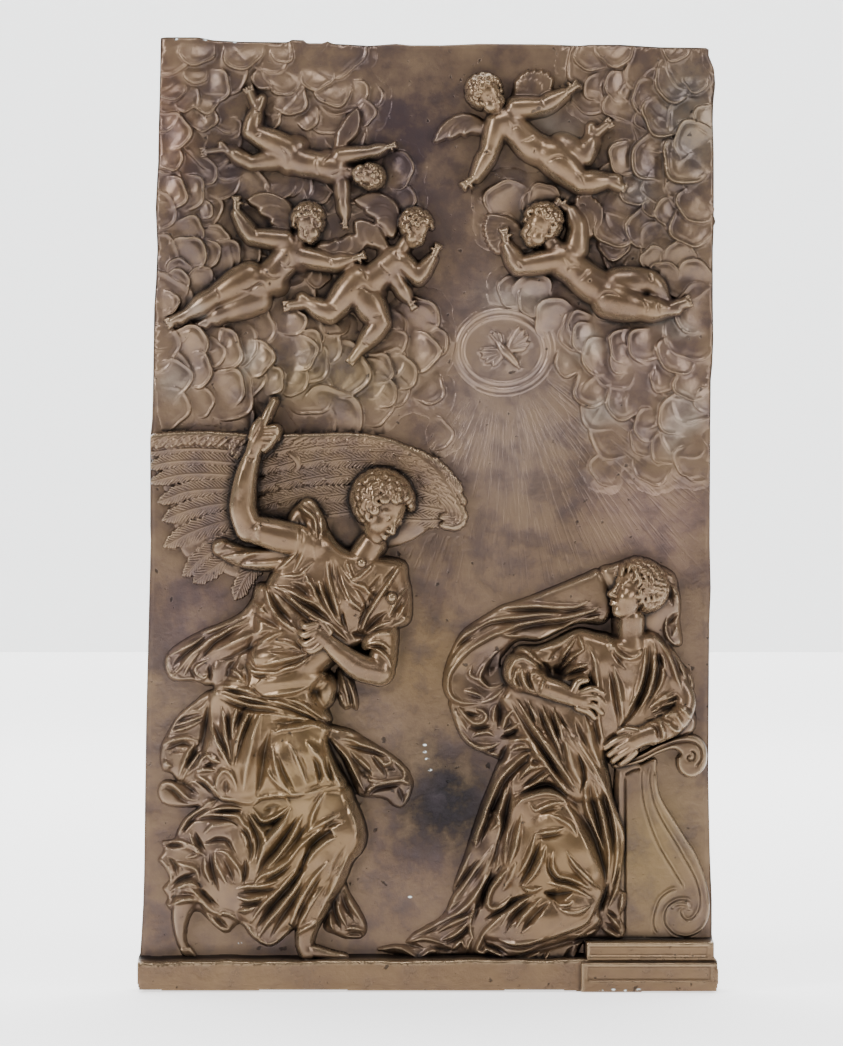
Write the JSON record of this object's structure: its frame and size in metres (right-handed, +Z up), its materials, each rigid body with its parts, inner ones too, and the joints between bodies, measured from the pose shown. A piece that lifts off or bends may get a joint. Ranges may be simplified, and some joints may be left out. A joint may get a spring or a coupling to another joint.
{
  "type": "relief plaque",
  "caption": "Tall cast bronze wall relief: figures, winged children and clouds on a slab with a foot ledge and a flat back.",
  "frame": {"origin": "centre of the flat back, where it lies on the wall", "axes": "+Z up, +X to the viewer's right, +Y from the back into the wall; the figures face -Y"},
  "size_m": [0.5947, 0.0765, 0.9785],
  "materials": {
    "patinated_bronze": "brown patina, dark in the hollows, rubbed golden on the high places"
  },
  "bodies": {
    "root": {"relief_plaque": "patinated_bronze"}
  },
  "joints": []
}
